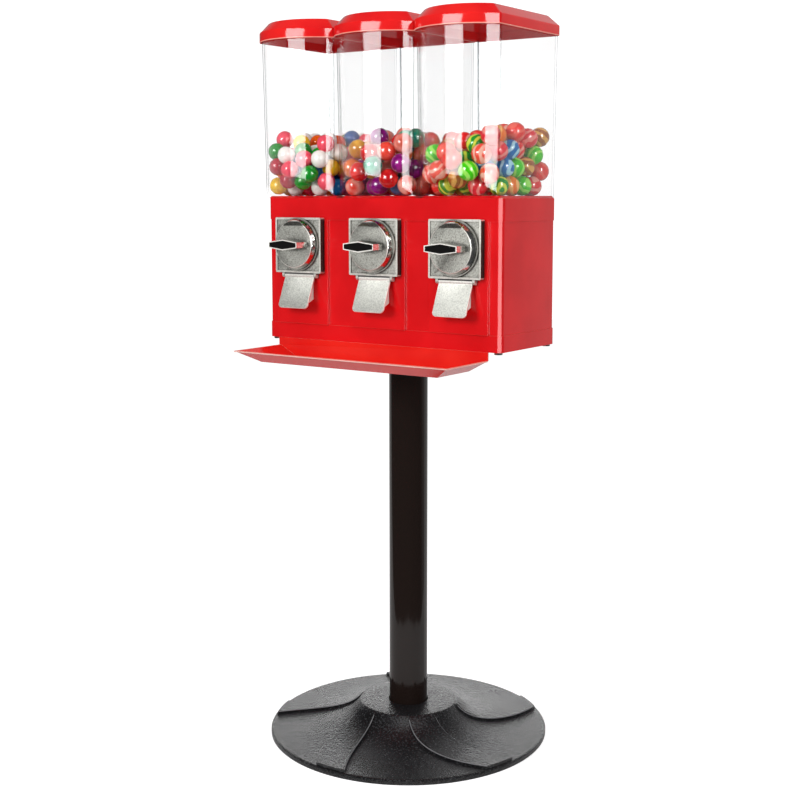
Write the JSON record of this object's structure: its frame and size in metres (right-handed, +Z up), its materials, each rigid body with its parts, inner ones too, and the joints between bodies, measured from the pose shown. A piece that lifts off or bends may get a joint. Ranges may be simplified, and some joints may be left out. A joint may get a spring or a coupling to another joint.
{
  "type": "triple candy dispenser",
  "caption": "Coin-operated candy dispenser: clear canisters over a red body with turn knobs, chute flaps and a catch tray, on a pole with a round cast base.",
  "frame": {"origin": "centre of the base's underside, on the floor", "axes": "+Z up along the pole, -Y out of the front with the knobs, +X to the right of someone facing the front"},
  "size_m": [0.4, 0.4, 1.013],
  "materials": {
    "base_casting": "black hammered paint on a cast base",
    "pole": "gloss black paint",
    "zinc_steel": "zinc plated steel",
    "red_body": "satin red moulding",
    "red_sheet": "gloss red paint on sheet steel",
    "red_lid": "gloss red moulding",
    "galvanised": "bare galvanised sheet",
    "cast_chrome": "pebbled die casting, bright plated",
    "lock_chrome": "polished",
    "white_plastic": "moulded white plastic",
    "clear_canister": "clear moulded polycarbonate",
    "black_insert": "black filled recess",
    "gumballs": "sugar-glazed solid colours",
    "capsules": "translucent two-tone balls",
    "bouncy_balls": "swirled bouncy balls"
  },
  "bodies": {
    "stand_and_body": {"base_casting": "base_casting", "pole": "pole", "tie_rod": "zinc_steel", "rod_nuts": "zinc_steel", "pole_flange": "pole", "flange_screws": "zinc_steel", "bottom_pan": "red_body", "body_shell": "red_body", "hopper_band": "red_body", "candy_tray": "red_sheet", "door_hinge": "zinc_steel", "coin_box": "galvanised", "body_screws": "zinc_steel", "front_plate_1": "cast_chrome", "mechanism_housing_1": "zinc_steel", "hopper_1": "white_plastic", "chute_1": "red_body", "flap_pin_1": "zinc_steel", "canister_1": "clear_canister", "candies_1": "gumballs", "front_plate_2": "cast_chrome", "mechanism_housing_2": "zinc_steel", "hopper_2": "white_plastic", "chute_2": "red_body", "flap_pin_2": "zinc_steel", "canister_2": "clear_canister", "candies_2": "capsules", "front_plate_3": "cast_chrome", "mechanism_housing_3": "zinc_steel", "hopper_3": "white_plastic", "chute_3": "red_body", "flap_pin_3": "zinc_steel", "canister_3": "clear_canister", "candies_3": "bouncy_balls"},
    "knob_1": {"knob_1": "cast_chrome", "knob_insert_1": "black_insert", "shaft_1": "zinc_steel", "coin_wheel_1": "zinc_steel", "pinion_1": "zinc_steel"},
    "candy_wheel_1": {"candy_wheel_1": "white_plastic"},
    "flap_1": {"flap_1": "cast_chrome"},
    "lid_1": {"lid_1": "red_lid"},
    "knob_2": {"knob_2": "cast_chrome", "knob_insert_2": "black_insert", "shaft_2": "zinc_steel", "coin_wheel_2": "zinc_steel", "pinion_2": "zinc_steel"},
    "candy_wheel_2": {"candy_wheel_2": "white_plastic"},
    "flap_2": {"flap_2": "cast_chrome"},
    "lid_2": {"lid_2": "red_lid"},
    "knob_3": {"knob_3": "cast_chrome", "knob_insert_3": "black_insert", "shaft_3": "zinc_steel", "coin_wheel_3": "zinc_steel", "pinion_3": "zinc_steel"},
    "candy_wheel_3": {"candy_wheel_3": "white_plastic"},
    "flap_3": {"flap_3": "cast_chrome"},
    "lid_3": {"lid_3": "red_lid"},
    "cash_door": {"cash_door": "red_body"},
    "cam_lock": {"cam_lock": "lock_chrome"}
  },
  "joints": [
    {"name": "knob_turn_1", "type": "hinge", "parent": "stand_and_body", "child": "knob_1", "pos_m": [-0.1305, -0.09, 0.7055], "axis": [0, 1, 0], "continuous": true},
    {"name": "wheel_turn_1", "type": "hinge", "parent": "stand_and_body", "child": "candy_wheel_1", "pos_m": [-0.1305, 0, 0.72], "axis": [0, 0, 1], "continuous": true},
    {"name": "flap_hinge_1", "type": "hinge", "parent": "stand_and_body", "child": "flap_1", "pos_m": [-0.1305, -0.0797, 0.6618], "axis": [-1, 0, 0], "range_deg": [0, 60]},
    {"name": "lid_lift_1", "type": "slide", "parent": "stand_and_body", "child": "lid_1", "axis": [0, 0, 1], "range_m": [0, 0.12]},
    {"name": "knob_turn_2", "type": "hinge", "parent": "stand_and_body", "child": "knob_2", "pos_m": [0, -0.09, 0.7055], "axis": [0, 1, 0], "continuous": true},
    {"name": "wheel_turn_2", "type": "hinge", "parent": "stand_and_body", "child": "candy_wheel_2", "pos_m": [0, 0, 0.72], "axis": [0, 0, 1], "continuous": true},
    {"name": "flap_hinge_2", "type": "hinge", "parent": "stand_and_body", "child": "flap_2", "pos_m": [0, -0.0797, 0.6618], "axis": [-1, 0, 0], "range_deg": [0, 60]},
    {"name": "lid_lift_2", "type": "slide", "parent": "stand_and_body", "child": "lid_2", "axis": [0, 0, 1], "range_m": [0, 0.12]},
    {"name": "knob_turn_3", "type": "hinge", "parent": "stand_and_body", "child": "knob_3", "pos_m": [0.1305, -0.09, 0.7055], "axis": [0, 1, 0], "continuous": true},
    {"name": "wheel_turn_3", "type": "hinge", "parent": "stand_and_body", "child": "candy_wheel_3", "pos_m": [0.1305, 0, 0.72], "axis": [0, 0, 1], "continuous": true},
    {"name": "flap_hinge_3", "type": "hinge", "parent": "stand_and_body", "child": "flap_3", "pos_m": [0.1305, -0.0797, 0.6618], "axis": [-1, 0, 0], "range_deg": [0, 60]},
    {"name": "lid_lift_3", "type": "slide", "parent": "stand_and_body", "child": "lid_3", "axis": [0, 0, 1], "range_m": [0, 0.12]},
    {"name": "door_hinge", "type": "hinge", "parent": "stand_and_body", "child": "cash_door", "pos_m": [0, 0.0754, 0.6104], "axis": [-1, 0, 0], "range_deg": [0, 90]},
    {"name": "lock_turn", "type": "hinge", "parent": "cash_door", "child": "cam_lock", "pos_m": [0, 0.072, 0.6715], "axis": [0, -1, 0], "range_deg": [0, 90]}
  ],
  "couplings": [
    {"joint": "wheel_turn_1", "follows": "knob_turn_1", "ratio": 0.16667},
    {"joint": "wheel_turn_2", "follows": "knob_turn_2", "ratio": 0.16667},
    {"joint": "wheel_turn_3", "follows": "knob_turn_3", "ratio": 0.16667}
  ]
}
